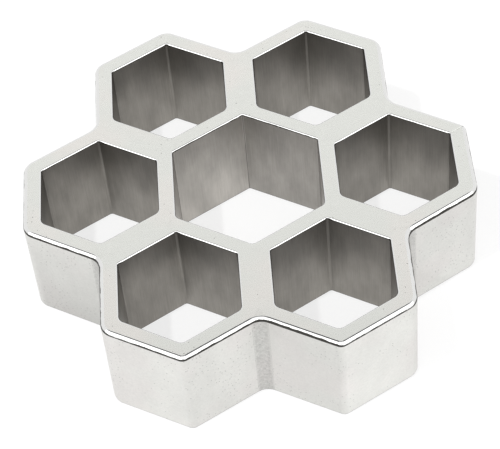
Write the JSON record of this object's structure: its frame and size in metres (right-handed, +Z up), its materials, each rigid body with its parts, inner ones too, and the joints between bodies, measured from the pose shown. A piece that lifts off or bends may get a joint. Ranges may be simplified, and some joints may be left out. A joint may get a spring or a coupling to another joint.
{
  "type": "honeycomb grid",
  "caption": "Open steel honeycomb: hexagonal sleeves joined flat to flat around a wider open core, ground flat on top, with a rounded and polished outer rim.",
  "frame": {"origin": "centre of the core, on the plane that the grid stands on", "axes": "+Z up, along the cells; +X through the middle of the first sleeve; sleeves are numbered anticlockwise seen from above"},
  "size_m": [0.0848, 0.0808, 0.0222],
  "materials": {
    "sleeve_steel": "satin-drawn walls, flat-ground top, polished rim",
    "weld_steel": "weld fillet, blended and blasted to a fine grain",
    "braze_alloy": "silver-coloured braze, ground flush"
  },
  "bodies": {
    "root": {"hex_sleeve_1": "sleeve_steel", "hex_sleeve_2": "sleeve_steel", "hex_sleeve_3": "sleeve_steel", "hex_sleeve_4": "sleeve_steel", "hex_sleeve_5": "sleeve_steel", "hex_sleeve_6": "sleeve_steel", "notch_weld_1": "weld_steel", "notch_weld_2": "weld_steel", "notch_weld_3": "weld_steel", "notch_weld_4": "weld_steel", "notch_weld_5": "weld_steel", "notch_weld_6": "weld_steel", "braze_film_1": "braze_alloy", "braze_film_2": "braze_alloy", "braze_film_3": "braze_alloy", "braze_film_4": "braze_alloy", "braze_film_5": "braze_alloy", "braze_film_6": "braze_alloy", "core_weld_1": "weld_steel", "core_weld_2": "weld_steel", "core_weld_3": "weld_steel", "core_weld_4": "weld_steel", "core_weld_5": "weld_steel", "core_weld_6": "weld_steel"}
  },
  "joints": []
}
